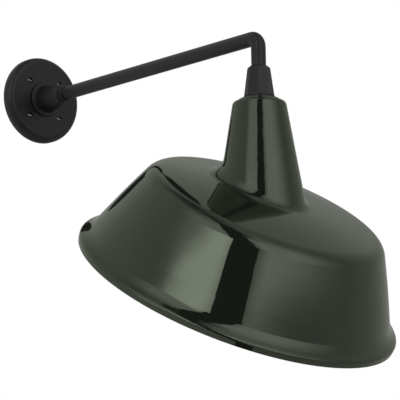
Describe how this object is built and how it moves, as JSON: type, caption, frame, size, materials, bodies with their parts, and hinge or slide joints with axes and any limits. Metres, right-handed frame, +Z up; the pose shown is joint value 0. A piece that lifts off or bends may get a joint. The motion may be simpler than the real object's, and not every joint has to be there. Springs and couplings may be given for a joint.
{
  "type": "wall sconce",
  "caption": "Barn wall light: round backplate, straight pipe arm with a tight elbow, faceted hub and an enamelled angle shade tilted back towards the wall, with a lampholder and bulb.",
  "frame": {"origin": "centre of the backplate on the wall plane", "axes": "+Z up; +Y into the wall, so the arm runs along -Y; +X to the right as seen from the room"},
  "size_m": [0.4784, 0.7043, 0.5561],
  "materials": {
    "foam": "closed-cell foam",
    "zinc_plated_steel": "zinc-plated pressed steel",
    "green_screw": "green dyed zinc",
    "ground_insulation": "wire insulation",
    "black_powder_coat": "satin powder coat",
    "bright_steel": "nickel-plated steel",
    "blackened_steel": "black-oxide steel",
    "bushing_plastic": "moulded nylon",
    "wire_black": "wire insulation",
    "wire_white": "wire insulation",
    "gasket_rubber": "moulded rubber",
    "green_enamel": "glossy porcelain enamel, white inside",
    "porcelain": "glazed porcelain",
    "brass": "rolled brass",
    "nickelled_brass": "nickel-plated brass",
    "solder": "solder",
    "black_glass": "fused black glass",
    "bulb_glass": "frosted inside, smooth outside"
  },
  "bodies": {
    "arm": {"wall_gasket": "foam", "mounting_plate": "zinc_plated_steel", "ground_screw": "green_screw", "ground_wire": "ground_insulation", "backplate": "black_powder_coat", "backplate_screws": "bright_steel", "arm_set_screw": "blackened_steel", "arm_locknut": "zinc_plated_steel", "arm_collar": "black_powder_coat", "arm_tube": "black_powder_coat", "arm_bushing": "bushing_plastic", "arm_wire_hot": "wire_black", "arm_wire_neutral": "wire_white"},
    "shade_head": {"shade_hub": "black_powder_coat", "hub_set_screw": "blackened_steel", "hub_gasket": "gasket_rubber", "hub_nipple": "zinc_plated_steel", "shade": "green_enamel", "shade_washer": "zinc_plated_steel", "lock_washer": "zinc_plated_steel", "shade_locknut": "zinc_plated_steel", "lampholder_cap": "zinc_plated_steel", "lampholder_screws": "bright_steel", "lampholder_body": "porcelain", "terminal_screws": "brass", "lamp_lead_hot": "wire_black", "lamp_lead_neutral": "wire_white", "screw_shell": "nickelled_brass", "centre_contact": "brass", "bulb_contact": "solder", "bulb_insulator": "black_glass", "bulb_cap": "nickelled_brass", "bulb_glass": "bulb_glass"}
  },
  "joints": [
    {"name": "shade_swivel", "type": "hinge", "parent": "arm", "child": "shade_head", "pos_m": [0, -0.5432, -0.05], "axis": [0, 0, 1], "range_deg": [-170, 170]}
  ]
}
